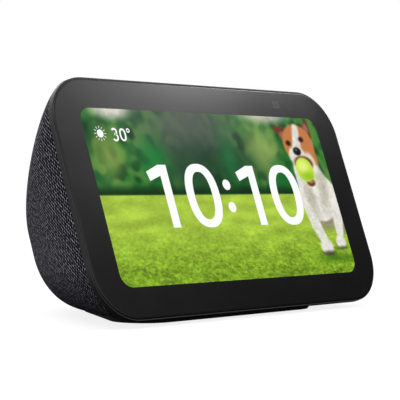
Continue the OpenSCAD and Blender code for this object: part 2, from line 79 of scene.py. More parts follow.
class Tree:
    """The node tree of a material or of the world, built in few words."""

    def __init__(self, name, shader="Principled BSDF", collection="materials"):
        self.owner = getattr(bpy.data, collection).new(name)
        self.owner.use_nodes = True
        self.nodes = self.owner.node_tree.nodes
        self.links = self.owner.node_tree.links
        self.shader = self.nodes[shader]

    def add(self, kind, inputs, output=0, **settings):
        """Adds a node and gives one of its outputs."""
        node = self.nodes.new("ShaderNode" + kind)
        for name, value in settings.items():
            setattr(node, name, value)
        for key, value in inputs.items():
            self.set(node.inputs[key], value)
        return node.outputs[output]

    def set(self, socket, value):
        if isinstance(value, bpy.types.NodeSocket):
            self.links.new(value, socket)
        else:
            socket.default_value = value

    def surface(self, **values):
        """Sets the shader's sockets, given in snake case, and gives the material or world."""
        for name, value in values.items():
            self.set(self.shader.inputs[name.replace("_", " ").title().replace("Ior", "IOR")], value)
        return self.owner

    def place(self, size, stretch=(1, 1, 1)):
        """The point on the object, in units of size."""
        point = self.add("TexCoord", {}, output="Object")
        return self.add("Mapping", {"Vector": point, "Scale": [s / size for s in stretch]})

    def noise(self, size, detail=2.0, stretch=(1, 1, 1)):
        return self.add("TexNoise", {"Vector": self.place(size, stretch), "Scale": 1.0,
                                     "Detail": detail})

    def math(self, operation, a, b=0.0):
        return self.add("Math", {0: a, 1: b}, operation=operation)

    def fade(self, value, low, high, to_low=0.0, to_high=1.0):
        """Smooth step from to_low to to_high as value goes from low to high."""
        return self.add("MapRange", {0: value, 1: low, 2: high, 3: to_low, 4: to_high},
                        interpolation_type="SMOOTHSTEP")

    def mix(self, share, a, b):
        """Colour a, turning into b as share goes from 0 to 1."""
        return self.add("Mix", {0: share, 6: a, 7: b}, output=2, data_type="RGBA")

    def bump(self, height, depth, strength=1.0):
        return self.add("Bump", {"Height": height, "Distance": depth, "Strength": strength})


def shade(colour, factor):
    return (*[min(c * factor, 1.0) for c in colour[:3]], 1.0)


# ---------- Materials ----------

def moulded(name, colour, roughness, grain=0.35 * MM, relief=0.02 * MM):
    """Spark-eroded plastic, rubber or paper: fine grain, slightly uneven gloss and shade."""
    t = Tree(name)
    fine, broad = t.noise(grain, 3.0), t.noise(14 * MM)
    tint = t.mix(t.fade(broad, 0.3, 0.7), shade(colour, 0.9), shade(colour, 1.1))
    return t.surface(
        base_color=t.mix(t.fade(fine, 0.35, 0.65), shade(colour, 0.88), tint),
        roughness=t.fade(fine, 0.3, 0.7, roughness - 0.06, roughness + 0.08),
        normal=t.bump(fine, relief, 0.6),
    )


def brushed(name, colour, roughness, along=(0.06, 1, 1)):
    """Rolled or brushed metal, with lines that run along one axis."""
    t = Tree(name)
    lines, stains = t.noise(0.12 * MM, 4.0, along), t.noise(9 * MM)
    return t.surface(
        base_color=t.mix(t.fade(stains, 0.3, 0.7), shade(colour, 0.85), shade(colour, 1.05)),
        metallic=1.0,
        roughness=t.fade(lines, 0.3, 0.7, roughness - 0.08, roughness + 0.12),
        normal=t.bump(lines, 0.01 * MM, 0.4),
    )


def solder_mask():
    """Green board with copper tracks under the mask and a row of tinned vias."""
    t = Tree("circuit_board")
    grid = t.place(1.3 * MM)
    cells = t.add("TexVoronoi", {"Vector": grid, "Scale": 1.0, "Randomness": 0.0},
                  distance="CHEBYCHEV")
    tracks = t.add("TexBrick", {"Vector": t.place(2.2 * MM), "Scale": 1.0, "Mortar Size": 0.09,
                                "Brick Width": 3.2, "Row Height": 0.5,
                                "Color1": (0, 0, 0, 1), "Color2": (0.25, 0.25, 0.25, 1),
                                "Mortar": (1, 1, 1, 1)})
    sparse = t.fade(t.noise(5 * MM), 0.56, 0.6)
    via = t.math("MULTIPLY", t.fade(cells, 0.2, 0.14), sparse)
    mask = t.mix(t.fade(tracks, 0.3, 0.9), (0.008, 0.09, 0.035, 1), (0.03, 0.2, 0.08, 1))
    return t.surface(
        base_color=t.mix(via, mask, (0.75, 0.72, 0.66, 1)),
        roughness=t.fade(t.noise(0.6 * MM), 0.3, 0.7, 0.28, 0.4),
        normal=t.bump(t.math("ADD", t.fade(tracks, 0.3, 0.9), via), 0.03 * MM),
        coat_weight=0.4,
    )


def flat_cable():
    """Amber ribbon with fine copper lines along it."""
    t = Tree("ribbon")
    line = t.add("TexWave", {"Vector": t.place(0.8 * MM), "Scale": 1.0}, bands_direction="X")
    return t.surface(
        base_color=t.mix(t.fade(line, 0.35, 0.65), (0.30, 0.10, 0.015, 1), (0.55, 0.27, 0.07, 1)),
        roughness=t.fade(t.noise(1 * MM), 0.3, 0.7, 0.25, 0.38),
        normal=t.bump(line, 0.02 * MM),
    )


def woven_mesh():
    """Acoustic mesh: over and under threads."""
    t = Tree("mesh")
    across = t.add("TexWave", {"Vector": t.place(0.35 * MM), "Scale": 1.0}, bands_direction="X")
    along = t.add("TexWave", {"Vector": t.place(0.35 * MM), "Scale": 1.0}, bands_direction="Y")
    thread = t.math("MAXIMUM", across, along)
    return t.surface(
        base_color=t.mix(thread, (0.002, 0.002, 0.002, 1), (0.06, 0.06, 0.06, 1)),
        roughness=t.fade(thread, 0.2, 0.8, 0.9, 0.55),
        normal=t.bump(thread, 0.05 * MM),
    )


def glass_haze(t):
    """Roughness of the cover glass, which handling has left a little uneven."""
    return t.fade(t.noise(25 * MM, 3.0), 0.35, 0.7, 0.22, 0.245)


def printed_glass():
    """Cover glass printed black behind."""
    t = Tree("glass_black")
    print_grain = t.noise(0.2 * MM)
    return t.surface(
        base_color=t.mix(t.fade(print_grain, 0.3, 0.7), (0.0028, 0.0028, 0.0030, 1),
                         (0.0045, 0.0045, 0.0047, 1)),
        roughness=glass_haze(t),
        ior=1.52,
    )


def lit_picture():
    """Display seen through the cover glass. Its colours are in the mesh's picture attribute."""
    t = Tree("screen_picture")
    picture = t.add("Attribute", {}, output="Color", attribute_name="picture")
    return t.surface(
        base_color=(0.004, 0.004, 0.004, 1),
        emission_color=picture,
        emission_strength=0.95,
        specular_ior_level=0.12,
        roughness=glass_haze(t),
        ior=1.52,
    )


def lit_white():
    """White marks on the display."""
    t = Tree("screen_white")
    pixels = t.noise(0.1 * MM)
    return t.surface(
        base_color=(0.004, 0.004, 0.004, 1),
        emission_color=t.mix(t.fade(pixels, 0.3, 0.7), (0.93, 0.94, 0.95, 1), (1, 1, 1, 1)),
        emission_strength=1.0,
        roughness=glass_haze(t),
        ior=1.52,
    )


def tinted_glass(name, colour, roughness=0.02):
    t = Tree(name)
    return t.surface(
        base_color=shade(colour, 1.0),
        transmission_weight=1.0,
        roughness=t.fade(t.noise(8 * MM), 0.3, 0.7, roughness, roughness + 0.03),
        ior=1.5,
    )


def camera_glass():
    """Smoky pane over the camera."""
    t = Tree("camera_glass")
    return t.surface(
        base_color=t.mix(t.noise(1 * MM), (0.02, 0.02, 0.021, 1), (0.028, 0.028, 0.029, 1)),
        transmission_weight=0.15,
        roughness=0.28,
        ior=1.5,
    )


def lens_glass():
    """Dark lens with a violet coating that shows in the rings round it."""
    t = Tree("lens")
    rings = t.add("TexWave", {"Vector": t.place(1.1 * MM), "Scale": 1.0}, wave_type="RINGS",
                  rings_direction="SPHERICAL")
    return t.surface(
        base_color=t.mix(t.fade(rings, 0.4, 0.6), (0.004, 0.004, 0.008, 1), (0.02, 0.012, 0.05, 1)),
        roughness=t.fade(rings, 0.4, 0.6, 0.05, 0.1),
        coat_weight=1.0,
    )


def light_guide():
    """White light guide with the dots that let its light out."""
    t = Tree("light_guide")
    dots = t.add("TexVoronoi", {"Vector": t.place(0.8 * MM), "Scale": 1.0, "Randomness": 0.0})
    return t.surface(
        base_color=t.mix(t.fade(dots, 0.2, 0.3), (0.95, 0.96, 0.98, 1), (0.78, 0.79, 0.81, 1)),
        roughness=t.fade(dots, 0.2, 0.3, 0.3, 0.45),
        normal=t.bump(dots, 0.03 * MM),
    )


def knit():
    """Charcoal knit: threads that cross cornerwise round dark gaps, with light flecks where they cross.

    Its map holds the distance up the side and the distance back from the rim, where it is pulled
    tightest and its gaps are widest. The rear slope is mapped straight on, with a ragged join.
    """
    t = Tree("knit_fabric")
    side = t.add("UVMap", {}, uv_map="knit")
    back = t.add("SeparateXYZ", {"Vector": side}, output="Y")
    place = t.add("TexCoord", {}, output="Object")
    slope = t.add("Mapping", {"Vector": place, "Rotation": (REAR_SLOPE, 0, 0)})
    normal = t.add("TexCoord", {}, output="Normal")
    turned = t.add("Mapping", {"Vector": normal, "Rotation": (REAR_SLOPE, 0, 0)})
    facing = t.add("SeparateXYZ", {"Vector": turned}, output="Z")
    ragged = t.add("TexNoise", {"Vector": place, "Scale": 1 / (4 * MM), "Detail": 1.0})
    rear = t.fade(t.math("ADD", facing, t.math("MULTIPLY", ragged, 0.3)), 0.95, 0.96)
    point = t.mix(rear, side, slope)
    cell = t.add("Mapping", {"Vector": point, "Rotation": (0, 0, math.radians(45)),
                             "Scale": (1 / KNIT_CELL,) * 3})
    lattice = {"Vector": cell, "Scale": 1.0, "Randomness": 0.15}
    across = t.add("TexVoronoi", lattice, voronoi_dimensions="2D", distance="CHEBYCHEV")
    corner = t.add("TexVoronoi", lattice, voronoi_dimensions="2D")
    twist = t.add("TexNoise", {"Vector": cell, "Scale": 3.0, "Detail": 2.0})
    patch = t.add("TexNoise", {"Vector": cell, "Scale": 1.0, "Detail": 1.0})
    slack = t.fade(back, 2 * MM, 16 * MM, -0.01, 0.05)
    gap = t.fade(t.math("ADD", across, slack), 0.44, 0.32)
    fleck = t.math("MULTIPLY", t.fade(corner, 0.45, 0.6), t.fade(patch, 0.38, 0.55, 0.15, 1.0))
    yarn = t.mix(t.fade(twist, 0.35, 0.65), (0.034, 0.034, 0.043, 1), (0.098, 0.098, 0.120, 1))
    yarn = t.mix(fleck, yarn, (0.6, 0.6, 0.68, 1))
    height = t.math("ADD", t.fade(across, 0.18, 0.42), t.math("MULTIPLY", twist, 0.2))
    return t.surface(
        base_color=t.mix(gap, yarn, (0.001, 0.001, 0.0015, 1)),
        roughness=t.fade(gap, 0.0, 1.0, 0.8, 0.95),
        normal=t.bump(height, 0.1 * MM, 0.7),
        specular_ior_level=0.06,
    )


MATERIALS = {
    "glass_black": printed_glass(),
    "adhesive": moulded("adhesive", (0.02, 0.02, 0.02), 0.6),
    "film": tinted_glass("film", (0.6, 0.66, 0.7)),
    "screen": lit_white(),
    "light_guide": light_guide(),
    "steel": brushed("steel", (0.62, 0.62, 0.64), 0.32),
    "charcoal_plastic": moulded("charcoal_plastic", (0.030, 0.030, 0.032), 0.42),
    "black_plastic": moulded("black_plastic", (0.018, 0.018, 0.02), 0.4),
    "lens": lens_glass(),
    "circuit_board": solder_mask(),
    "thermal_pad": moulded("thermal_pad", (0.45, 0.5, 0.65), 0.75, 0.8 * MM, 0.05 * MM),
    "aluminium": brushed("aluminium", (0.7, 0.71, 0.72), 0.38, (1, 1, 0.06)),
    "connector": moulded("connector", (0.8, 0.77, 0.7), 0.5),
    "copper": brushed("copper", (0.72, 0.42, 0.25), 0.3),
    "ribbon": flat_cable(),
    "wire": moulded("wire", (0.3, 0.03, 0.03), 0.45),
    "mesh": woven_mesh(),
    "shell_plastic": moulded("shell_plastic", (0.05, 0.05, 0.055), 0.55, 0.5 * MM, 0.04 * MM),
    "knit_fabric": knit(),
    "painted_steel": moulded("painted_steel", (0.02, 0.02, 0.02), 0.5, 0.25 * MM, 0.03 * MM),
    "foam": moulded("foam", (0.03, 0.03, 0.03), 0.95, 0.5 * MM, 0.2 * MM),
    "magnet": moulded("magnet", (0.16, 0.16, 0.17), 0.5, 0.3 * MM, 0.04 * MM),
    "paper": moulded("paper", (0.03, 0.03, 0.03), 0.85, 0.6 * MM, 0.1 * MM),
    "rubber": moulded("rubber", (0.014, 0.014, 0.015), 0.7, 0.5 * MM, 0.03 * MM),
    "nickel": brushed("nickel", (0.7, 0.67, 0.6), 0.15),
}


def dress_cad_nodes():
    """Gives each CAD node the material of its slot, and its edges a small radius."""
    edge_radius = {"bezel_frame": 0.12, "top_strip": 0.15, "volume_down_button": 0.15,
                   "volume_up_button": 0.15, "mic_off_button": 0.15, "shutter": 0.12,
                   "port_ring": 0.25, "power_jack": 0.15, "base_plate": 0.25, "foot_pad": 0.12}
    for part in frame["record"]["subparts"]:
        node = frame["nodes"][part["node"]]
        for i in range(len(node.material_slots)):
            node.material_slots[i].material = MATERIALS[part["material_slot"]]
        if part["node"] in edge_radius:
            bevel = node.modifiers.new("edges", "BEVEL")
            bevel.width = edge_radius[part["node"]] * MM
            bevel.segments = 3
            bevel.angle_limit = math.radians(40)
            bevel.harden_normals = True


# ---------- Meshes ----------

def new_piece(name, points, faces, slot, at=None, body="housing"):
    """Makes a piece from points and faces, with its slot's material, riding on a body."""
    mesh = bpy.data.meshes.new(name)
    mesh.from_pydata([tuple(p) for p in points], [], faces)
    mesh.materials.append(MATERIALS[slot])
    smooth(mesh)
    piece = bpy.data.objects.new(name, mesh)
    bpy.context.scene.collection.objects.link(piece)
    piece.matrix_world = at or Matrix.Identity(4)
    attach(piece, body)
    return piece


def strips(loop_count, size, joined=False):
    """Faces between neighbouring loops of the same size. Joined closes the last on the first."""
    faces = []
    for k in range(loop_count if joined else loop_count - 1):
        here, after = k * size, (k + 1) % loop_count * size
        for i in range(size):
            j = (i + 1) % size
            faces.append((here + i, here + j, after + j, after + i))
    return faces


def rounded_loop(half_w, half_h, r, z, steps=(300, 150, 14)):
    """Points round a rounded rectangle. Steps: along a long side, a short side and a corner."""
    points = []
    for k, (sx, sy) in enumerate([(1, 1), (-1, 1), (-1, -1), (1, -1)]):
        cx, cy = sx * (half_w - r), sy * (half_h - r)
        for i in range(steps[2] + 1):
            a = math.radians(90 * (k + i / steps[2]))
            points.append((cx + r * math.cos(a), cy + r * math.sin(a), z))
        # The straight side that follows this corner
        x, y = points[-1][:2]
        count = steps[k % 2]
        run = (-sx * 2 * (half_w - r), 0) if k % 2 == 0 else (0, -sy * 2 * (half_h - r))
        for i in range(1, count):
            points.append((x + run[0] * i / count, y + run[1] * i / count, z))
    return points


def flat_piece(name, outlines, thickness, slot, at, body="housing"):
    """Thin solid between flat outlines, sunk by half its thickness. Inner outlines are holes."""
    curve = bpy.data.curves.new(name, "CURVE")
    curve.dimensions = "2D"
    curve.fill_mode = "BOTH"
    curve.extrude = thickness / 2
    for outline in outlines:
        spline = curve.splines.new("POLY")
        spline.points.add(len(outline) - 1)
        for point, (x, y) in zip(spline.points, outline):
            point.co = (x, y, 0, 1)
        spline.use_cyclic_u = True
    drawn = bpy.data.objects.new(name, curve)
    mesh = bpy.data.meshes.new_from_object(drawn)
    bpy.data.objects.remove(drawn)
    points = [v.co.copy() for v in mesh.vertices]
    faces = [tuple(f.vertices) for f in mesh.polygons]
    bpy.data.meshes.remove(mesh)
    piece = new_piece(name, points, faces, slot, at, body)
    merge_doubles(piece.data)
    return piece


def merge_doubles(mesh, gap=0.002 * MM):
    """Joins points that lie together, and turns the faces outwards."""
    work = bmesh.new()
    work.from_mesh(mesh)
    bmesh.ops.remove_doubles(work, verts=work.verts, dist=gap)
    bmesh.ops.recalc_face_normals(work, faces=work.faces)
    work.to_mesh(mesh)
    work.free()
    smooth(mesh)


def smooth(mesh):
    """Smooth shading, with sharp edges where the surface turns."""
    mesh.shade_smooth()
    mesh.set_sharp_from_angle(angle=math.radians(35))


def cut(piece, cutters):
    """Cuts solids out of a piece, and removes them."""
    for cutter in cutters:
        hole = piece.modifiers.new("hole", "BOOLEAN")
        hole.object = cutter
        hole.solver = "MANIFOLD"
    bpy.context.view_layer.update()
    shaped = piece.evaluated_get(bpy.context.evaluated_depsgraph_get())
    mesh = bpy.data.meshes.new_from_object(shaped)
    piece.modifiers.clear()
    piece.data = mesh
    smooth(mesh)
    for cutter in cutters:
        bpy.data.objects.remove(cutter)


def prism(outline, low, high, at=None):
    """Closed prism between two heights, used to cut with."""
    size = len(outline)
    points = [(x, y, z) for z in (low, high) for x, y in outline]
    faces = strips(2, size) + [tuple(range(size - 1, -1, -1)), tuple(range(size, 2 * size))]
    mesh = bpy.data.meshes.new("cutter")
    mesh.from_pydata(points, [], faces)
    cutter = bpy.data.objects.new("cutter", mesh)
    bpy.context.scene.collection.objects.link(cutter)
    cutter.matrix_world = at or Matrix.Identity(4)
    return cutter


# ---------- Outlines ----------

def oval(centre, rx, ry=None, count=48, power=2.0):
    """Ellipse, or a squarer one for a power above 2."""
    points = []
    for i in range(count):
        a = 2 * math.pi * i / count
        c, s = math.cos(a), math.sin(a)
        points.append((centre[0] + rx * math.copysign(abs(c) ** (2 / power), c),
                       centre[1] + (ry or rx) * math.copysign(abs(s) ** (2 / power), s)))
    return points


def bar(start, end, width, count=8):
    """Straight stroke with round ends."""
    turn = math.atan2(end[1] - start[1], end[0] - start[0])
    points = []
    for centre, side in ((end, -90), (start, 90)):
        for i in range(count + 1):
            a = turn + math.radians(side + 180 * i / count)
            points.append((centre[0] + width / 2 * math.cos(a), centre[1] + width / 2 * math.sin(a)))
    return points


def stroke(path, width):
    """Outline of a stroke that follows a path of points."""
    points = [Vector(p) for p in path]
    left, right = [], []
    for i, p in enumerate(points):
        run = (points[min(i + 1, len(points) - 1)] - points[max(i - 1, 0)]).normalized()
        side = Vector((-run.y, run.x)) * width / 2
        left.append(tuple(p + side))
        right.append(tuple(p - side))
    return left + right[::-1]


def arc(centre, r, start, end, count=20):
    """Points on an arc, between two angles in degrees."""
    angles = [math.radians(start + (end - start) * i / count) for i in range(count + 1)]
    return [(centre[0] + r * math.cos(a), centre[1] + r * math.sin(a)) for a in angles]


def scaled(outline, size, shift=(0, 0)):
    return [(shift[0] + x * size, shift[1] + y * size) for x, y in outline]


# ---------- Screen picture ----------

def smoothstep(low, high, x):
    t = np.clip((x - low) / (high - low), 0.0, 1.0)
    return t * t * (3 - 2 * t)


def soft_noise(x, y, size, seed):
    """Smooth random values from 0 to 1, with features of the given size, from two crossed grids."""
    total = 0
    for turn in (0.3, 1.1):
        lattice = np.random.default_rng([seed, round(10 * turn)]).random((64, 64))
        gx = (x * math.cos(turn) - y * math.sin(turn)) / size + 31.3
        gy = (x * math.sin(turn) + y * math.cos(turn)) / size + 17.7
        ix, iy = np.floor(gx).astype(int), np.floor(gy).astype(int)
        fx, fy = smoothstep(0, 1, gx - ix), smoothstep(0, 1, gy - iy)
        rows = []
        for k in (0, 1):
            here, ahead = lattice[(iy + k) % 64, ix % 64], lattice[(iy + k) % 64, (ix + 1) % 64]
            rows.append(here * (1 - fx) + ahead * fx)
        total = total + rows[0] * (1 - fy) + rows[1] * fy
    return np.clip(0.5 + 0.72 * (total - 1), 0, 1)


class Painter:
    """Paints soft shapes on points of the screen. Places and sizes are millimetres."""

    def __init__(self, u, v):
        self.u, self.v = u, v
        self.rgb = np.zeros((len(u), 3))

    def lay(self, colour, share):
        share = np.clip(share, 0, 1)[:, None]
        self.rgb = self.rgb * (1 - share) + np.array(colour) * share

    def oval(self, centre, radii, colour, edge, turn=0.0, strength=1.0):
        a = np.radians(turn)
        du, dv = self.u - centre[0], self.v - centre[1]
        x = (du * np.cos(a) + dv * np.sin(a)) / radii[0]
        y = (dv * np.cos(a) - du * np.sin(a)) / radii[1]
        inside = (1 - np.hypot(x, y)) * min(radii)
        self.lay(colour, strength * smoothstep(-edge, edge, inside))

    def limb(self, start, end, start_r, end_r, colour, edge):
        run = np.array(end) - np.array(start)
        along = ((self.u - start[0]) * run[0] + (self.v - start[1]) * run[1]) / (run @ run)
        t = np.clip(along, 0, 1)
        gap = np.hypot(self.u - start[0] - t * run[0], self.v - start[1] - t * run[1])
        self.lay(colour, smoothstep(-edge, edge, start_r + (end_r - start_r) * t - gap))


def paint_meadow(p):
    """A row of trees, out of focus, behind a mown meadow."""
    p.lay((0.12, 0.38, 0.17), np.ones_like(p.u))
    for seed, size, colour in [(1, 14, (0.30, 0.52, 0.26)), (2, 9, (0.04, 0.26, 0.12)),
                               (3, 6, (0.16, 0.50, 0.16)), (4, 4, (0.03, 0.20, 0.09)),
                               (10, 3, (0.34, 0.55, 0.24))]:
        p.lay(colour, 0.9 * smoothstep(0.3, 0.95, soft_noise(p.u, p.v, size, seed)))
    # Grey haze in the middle, light between the trees, and pale undergrowth
    p.oval((-10, 24), (23, 14), (0.33, 0.36, 0.33), 11.0, strength=0.9)
    p.oval((-47, 31), (8, 3.6), (0.90, 0.88, 0.82), 2.6)
    p.oval((31, 32), (12, 3.6), (0.82, 0.79, 0.74), 2.6)
    p.oval((-53, 15), (6, 8), (0.56, 0.63, 0.30), 5.0, strength=0.7)
    p.oval((26, 17), (8, 9), (0.58, 0.66, 0.36), 6.0, strength=0.85)
    p.oval((-6, 10), (24, 9), (0.07, 0.22, 0.13), 7.0, strength=0.7)
    p.oval((-32, 12), (6, 7), (0.06, 0.50, 0.20), 5.0, strength=0.75)
    p.oval((6, 13), (4, 8), (0.12, 0.45, 0.24), 4.0, strength=0.7)
    p.oval((34, 8), (6, 5), (0.05, 0.42, 0.16), 4.0, strength=0.7)
    p.lay((0.02, 0.17, 0.06), 0.85 * smoothstep(5, 0.8, p.v))
    # Grass: bright and plain far away, darker and rougher close up
    near = smoothstep(-6, -31, p.v)
    blades = soft_noise(p.u, p.v * 2.2, 1.1, 5) * 0.6 + soft_noise(p.u, p.v, 0.45, 6) * 0.4
    patches = soft_noise(p.u, p.v * 3, 7, 7)
    far_green, near_green = np.array((0.67, 0.80, 0.27)), np.array((0.50, 0.65, 0.17))
    green = far_green + (near_green - far_green) * near[:, None]
    green = green * (0.88 + 0.20 * patches + (0.12 + 0.60 * near) * (blades - 0.5))[:, None]
    grass = smoothstep(-0.3, 0.3, 0.3 - p.v)[:, None]
    p.rgb = p.rgb * (1 - grass) + green * grass


def paint_dog(p):
    """A white and tan dog that runs towards the viewer with a ball in its mouth."""
    white, shadow, tan = (0.94, 0.93, 0.89), (0.56, 0.54, 0.42), (0.77, 0.48, 0.27)
    brown, black, pink = (0.42, 0.22, 0.13), (0.10, 0.08, 0.08), (0.72, 0.40, 0.38)
    # Shadow on the grass, hind leg, chest and front legs
    p.oval((52, -25.0), (9, 1.6), (0.22, 0.42, 0.08), 1.6, strength=0.7)
    p.limb((58, -6), (59.5, -14), 4.0, 2.2, shadow, 0.5)
    p.oval((53, -2), (10.4, 10.4), white, 0.6, turn=12)
    p.oval((52.0, -9.6), (6.2, 4.0), shadow, 2.6)
    p.limb((44.0, -3), (45.0, -12), 3.9, 2.7, white, 0.5)
    p.limb((45.0, -12), (47.8, -19), 2.7, 2.2, white, 0.5)
    p.oval((47.8, -20.4), (3.6, 3.0), white, 0.6)
    p.oval((48.0, -23.0), (3.0, 0.9), black, 0.7, strength=0.7)
    p.limb((59.6, -5), (57.8, -15), 3.4, 2.1, white, 0.5)
    p.oval((56.8, -18.8), (2.8, 2.6), white, 0.5)
    p.oval((57, -21.2), (2.4, 0.7), black, 0.6, strength=0.6)
    p.limb((48.6, 9), (50.6, 0), 7.8, 10.6, white, 0.6)
    p.oval((46.5, -2), (2.6, 6.0), shadow, 2.0, turn=10, strength=0.45)
    p.oval((55.5, 3), (2.4, 8.0), shadow, 2.4, turn=-14, strength=0.45)
    # Ears, head, blaze and muzzle
    p.limb((41.0, 24.0), (35.8, 26.2), 3.0, 0.8, brown, 0.5)
    p.oval((39.8, 23.6), (1.9, 1.4), (0.60, 0.38, 0.32), 0.7)
    p.limb((53.6, 24.5), (55.4, 28.8), 3.5, 1.3, brown, 0.5)
    p.oval((54.6, 26.4), (1.5, 2.2), (0.60, 0.40, 0.34), 0.7)
    p.oval((47.6, 20.0), (8.8, 8.0), tan, 0.5, turn=8)
    p.limb((54.0, 21), (55.0, 13), 2.4, 1.6, tan, 0.8)
    p.limb((48.2, 26.5), (46.4, 19), 1.7, 2.4, white, 0.7)
    p.oval((45.4, 15.2), (4.9, 4.0), white, 0.7)
    p.oval((52.2, 13.2), (2.4, 3.6), white, 0.9, turn=20)
    for eye in [(41.9, 20.4), (50.0, 22.0)]:
        p.oval(eye, (1.6, 1.2), brown, 0.4)
        p.oval(eye, (0.9, 0.8), black, 0.25)
    p.oval((45.8, 17.2), (2.3, 1.7), black, 0.35)
    p.oval((45.4, 17.8), (0.7, 0.35), (0.45, 0.45, 0.48), 0.3)
    # Mouth and ball
    p.oval((47.8, 12.4), (5.4, 3.0), brown, 0.6)
    p.oval((49.0, 4.8), (2.4, 1.6), brown, 0.4)
    p.oval((49.0, 5.4), (1.7, 1.0), pink, 0.3)
    p.oval((47.4, 9.9), (5.0, 4.8), (0.76, 0.90, 0.26), 0.35)
    p.oval((46.6, 11.2), (3.0, 2.4), (0.90, 0.97, 0.50), 1.6)
    p.oval((48.6, 7.2), (3.8, 1.8), (0.50, 0.70, 0.12), 1.6, strength=0.6)
    # Fur
    fur = soft_noise(p.u, p.v, 0.8, 8) * 0.6 + soft_noise(p.u, p.v, 2.5, 9) * 0.4
    coat = smoothstep(0.5, 0.7, p.rgb.min(axis=1))[:, None]
    p.rgb = p.rgb * (1 - 0.2 * coat * (fur[:, None] - 0.3))


# ---------- Display ----------

GLASS_T = 1.1 * MM
WINDOW = (61.5 * MM, 30.8 * MM, 5.0 * MM)  # half width, half height, corner radius
GLASS = (73.1 * MM, 41.35 * MM, 16.9 * MM)
CAMERA_AT = (41.0 * MM, 35.9 * MM)


def inset_loop(outline, inset, z):
    half_w, half_h, r = outline
    return rounded_loop(half_w - inset, half_h - inset, max(r - inset, 0.0), z)


def make_window():
    """The part of the cover glass over the display, with the picture that is lit behind it."""
    rows = 78
    loops = [inset_loop(WINDOW, WINDOW[1] * (1 - k / rows), 0.0) for k in range(rows + 1)]
    loops.append(inset_loop(WINDOW, 0.0, -GLASS_T))
    size = len(loops[0])
    faces = strips(len(loops), size) + [tuple(range((rows + 1) * size, (rows + 2) * size))[::-1]]
    points = [p for loop in loops for p in loop]
    window = new_piece("glass_window", points, faces, "screen", FACE)
    merge_doubles(window.data)
    window.data.materials[0] = lit_picture()
    co = np.array([v.co for v in window.data.vertices]) / MM
    painter = Painter(co[:, 0], co[:, 1])
    paint_meadow(painter)
    paint_dog(painter)
    # Colours on the sRGB scale, as light
    light = np.clip(painter.rgb, 0, 1) ** 2.2
    picture = window.data.color_attributes.new("picture", "FLOAT_COLOR", "POINT")
    picture.data.foreach_set("color", np.column_stack([light, np.ones(len(light))]).ravel())
    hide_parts("cover_glass")


def make_border():
    """The printed part of the cover glass, its front edge rounded over."""
    edge, drop = 0.7 * MM, 0.35 * MM
    loops = [inset_loop(WINDOW, 0.0, 0.0)]
    for i in range(9):
        a = math.radians(90 * i / 8)
        loops.append(inset_loop(GLASS, edge * (1 - math.sin(a)), -drop * (1 - math.cos(a))))
    loops.append(inset_loop(GLASS, 0.0, -GLASS_T + 0.15 * MM))
    loops.append(inset_loop(GLASS, 0.15 * MM, -GLASS_T))
    loops.append(inset_loop(WINDOW, 0.0, -GLASS_T))
    points = [p for loop in loops for p in loop]
    border = new_piece("glass_border", points, strips(len(loops), len(loops[0]), joined=True),
                       "glass_black", FACE)
    merge_doubles(border.data)
    opening = oval((0, 0), 2.1 * MM, 1.6 * MM, power=6)
    cut(border, [prism(opening, -2 * GLASS_T, GLASS_T, FACE @ Matrix.Translation((*CAMERA_AT, 0)))])
    # Keeps the shading of the flat part flat right up to the rounding
    border.modifiers.new("flat_face", "WEIGHTED_NORMAL").keep_sharp = True
    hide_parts("cover_glass")
    at = FACE @ Matrix.Translation((*CAMERA_AT, -GLASS_T / 2))
    pane = flat_piece("camera_pane", [opening], GLASS_T, "film", at)
    pane.data.materials[0] = camera_glass()
    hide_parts("cover_glass")


def make_clock():
    """Clock digits, weather mark and temperature, lit white in the picture."""
    def one(x):
        return [scaled([(0, -11.3), (3.7, -11.3), (3.7, 11.1), (-0.2, 11.1), (-6.4, 8.6),
                        (-5.4, 5.3), (0, 7.2)], MM, (x * MM, 0))]

    def zero(x):
        return [oval((x * MM, 0), 8.3 * MM, 11.6 * MM, 72, 2.35),
                oval((x * MM, 0), 4.5 * MM, 8.7 * MM, 72, 2.35)[::-1]]

    marks = [one(-31.2), zero(-12.3), one(13.8), zero(32.4)]
    marks += [[oval((0.9 * MM, y * MM), 1.95 * MM)] for y in (3.9, -4.4)]
    # Thirty degrees
    x, y = -47.7 * MM, 21.6 * MM
    three = arc((0, 1.05), 1.0, 150, -90) + arc((0, -0.95), 1.15, 90, -150)
    marks.append([stroke(scaled(three, MM, (x, y)), 0.68 * MM)])
    zero_at = (x + 3.7 * MM, y)
    marks.append([oval(zero_at, 1.5 * MM, 2.3 * MM, power=2.3),
                  oval(zero_at, 0.82 * MM, 1.65 * MM, power=2.3)[::-1]])
    degree_at = (x + 6.5 * MM, y + 1.6 * MM)
    marks.append([oval(degree_at, 0.8 * MM), oval(degree_at, 0.4 * MM)[::-1]])
    # Sun
    sun = (-54.3 * MM, 21.8 * MM)
    marks.append([oval(sun, 1.4 * MM)])
    for i in range(12):
        a = 2 * math.pi * i / 12
        ray = [(sun[0] + r * MM * math.cos(a), sun[1] + r * MM * math.sin(a)) for r in (1.9, 2.6)]
        marks.append([bar(ray[0], ray[1], 0.2 * MM)])
    for i, outlines in enumerate(marks):
        flat_piece(f"screen_mark_{i:02d}", outlines, 0.04 * MM, "screen", FACE)


# ---------- Controls ----------

MARK_PAINT = moulded("mark_paint", (0.32, 0.32, 0.33), 0.5)


